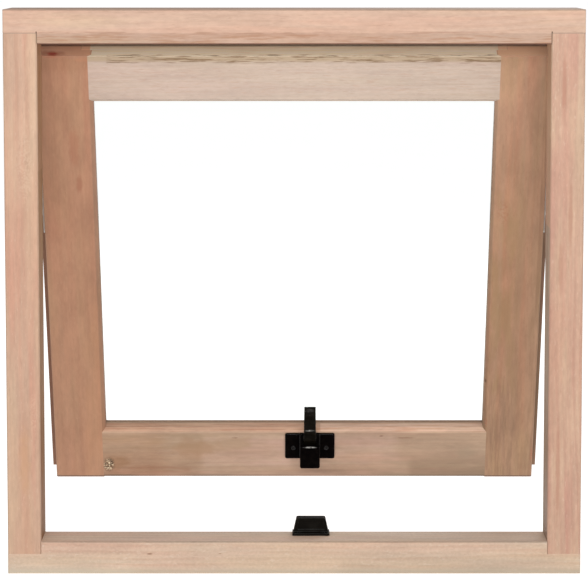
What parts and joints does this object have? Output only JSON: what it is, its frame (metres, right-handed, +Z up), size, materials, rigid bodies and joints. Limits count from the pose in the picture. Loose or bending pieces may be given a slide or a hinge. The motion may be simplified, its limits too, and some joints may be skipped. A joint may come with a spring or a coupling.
{
  "type": "top hung awning window",
  "caption": "Timber top hung awning window, frame and glazed sash on friction stays, with a lever catch on the bottom rail and its keeper on the sill.",
  "frame": {"origin": "on the sill's flat underside, in the middle of the frame's width and of the jambs' depth", "axes": "+X to the right seen from the room, +Y outdoors, +Z up; metres"},
  "size_m": [0.61, 0.3022, 0.6],
  "materials": {
    "frame_timber": "bare planed pine, faintly pink",
    "sash_timber": "bare planed pine, darker and grained",
    "bead_timber": "bare planed pine",
    "glass": "clear float glass",
    "stay_steel": "satin",
    "stay_shoe": "moulded",
    "catch_black": "black, satin"
  },
  "bodies": {
    "frame": {"head": "frame_timber", "sill": "frame_timber", "left_jamb": "frame_timber", "right_jamb": "frame_timber", "left_track": "stay_steel", "right_track": "stay_steel", "keeper": "catch_black"},
    "left_arm": {"left_arm": "stay_steel"},
    "right_arm": {"right_arm": "stay_steel"},
    "sash": {"left_stile": "sash_timber", "right_stile": "sash_timber", "top_rail": "sash_timber", "bottom_rail": "sash_timber", "glass_pane": "glass", "top_bead": "bead_timber", "bottom_bead": "bead_timber", "left_bead": "bead_timber", "right_bead": "bead_timber", "left_sash_bar": "stay_steel", "right_sash_bar": "stay_steel", "catch_case": "catch_black", "catch_pin": "catch_black"},
    "left_shoe": {"left_shoe": "stay_shoe"},
    "right_shoe": {"right_shoe": "stay_shoe"},
    "catch_lever": {"catch_lever": "catch_black"}
  },
  "joints": [
    {"name": "sash_swing", "type": "hinge", "parent": "left_arm", "child": "sash", "pos_m": [-0.2805, 0.05607, 0.46565], "axis": [1, 0, 0], "range_deg": [-46, 24]},
    {"name": "left_arm_swing", "type": "hinge", "parent": "frame", "child": "left_arm", "pos_m": [-0.2805, 0.0209, 0.3828], "axis": [1, 0, 0], "range_deg": [-12.5, 23.5]},
    {"name": "right_arm_swing", "type": "hinge", "parent": "frame", "child": "right_arm", "pos_m": [0.2805, 0.0209, 0.3828], "axis": [1, 0, 0], "range_deg": [-12.5, 23.5]},
    {"name": "left_shoe_turn", "type": "hinge", "parent": "sash", "child": "left_shoe", "pos_m": [-0.2805, 0.0209, 0.54849], "axis": [1, 0, 0], "range_deg": [-12.5, 23.5]},
    {"name": "right_shoe_turn", "type": "hinge", "parent": "sash", "child": "right_shoe", "pos_m": [0.2805, 0.0209, 0.54849], "axis": [1, 0, 0], "range_deg": [-12.5, 23.5]},
    {"name": "catch_lever_pull", "type": "hinge", "parent": "sash", "child": "catch_lever", "pos_m": [0.018, 0.18478, 0.09715], "axis": [1, 0, 0], "range_deg": [0, 30], "stiffness_Nm_per_rad": 0.3}
  ],
  "couplings": [
    {"joint": "left_arm_swing", "follows": "sash_swing", "ratio": -0.5},
    {"joint": "right_arm_swing", "follows": "sash_swing", "ratio": -0.5},
    {"joint": "left_shoe_turn", "follows": "sash_swing", "ratio": -0.5},
    {"joint": "right_shoe_turn", "follows": "sash_swing", "ratio": -0.5}
  ]
}
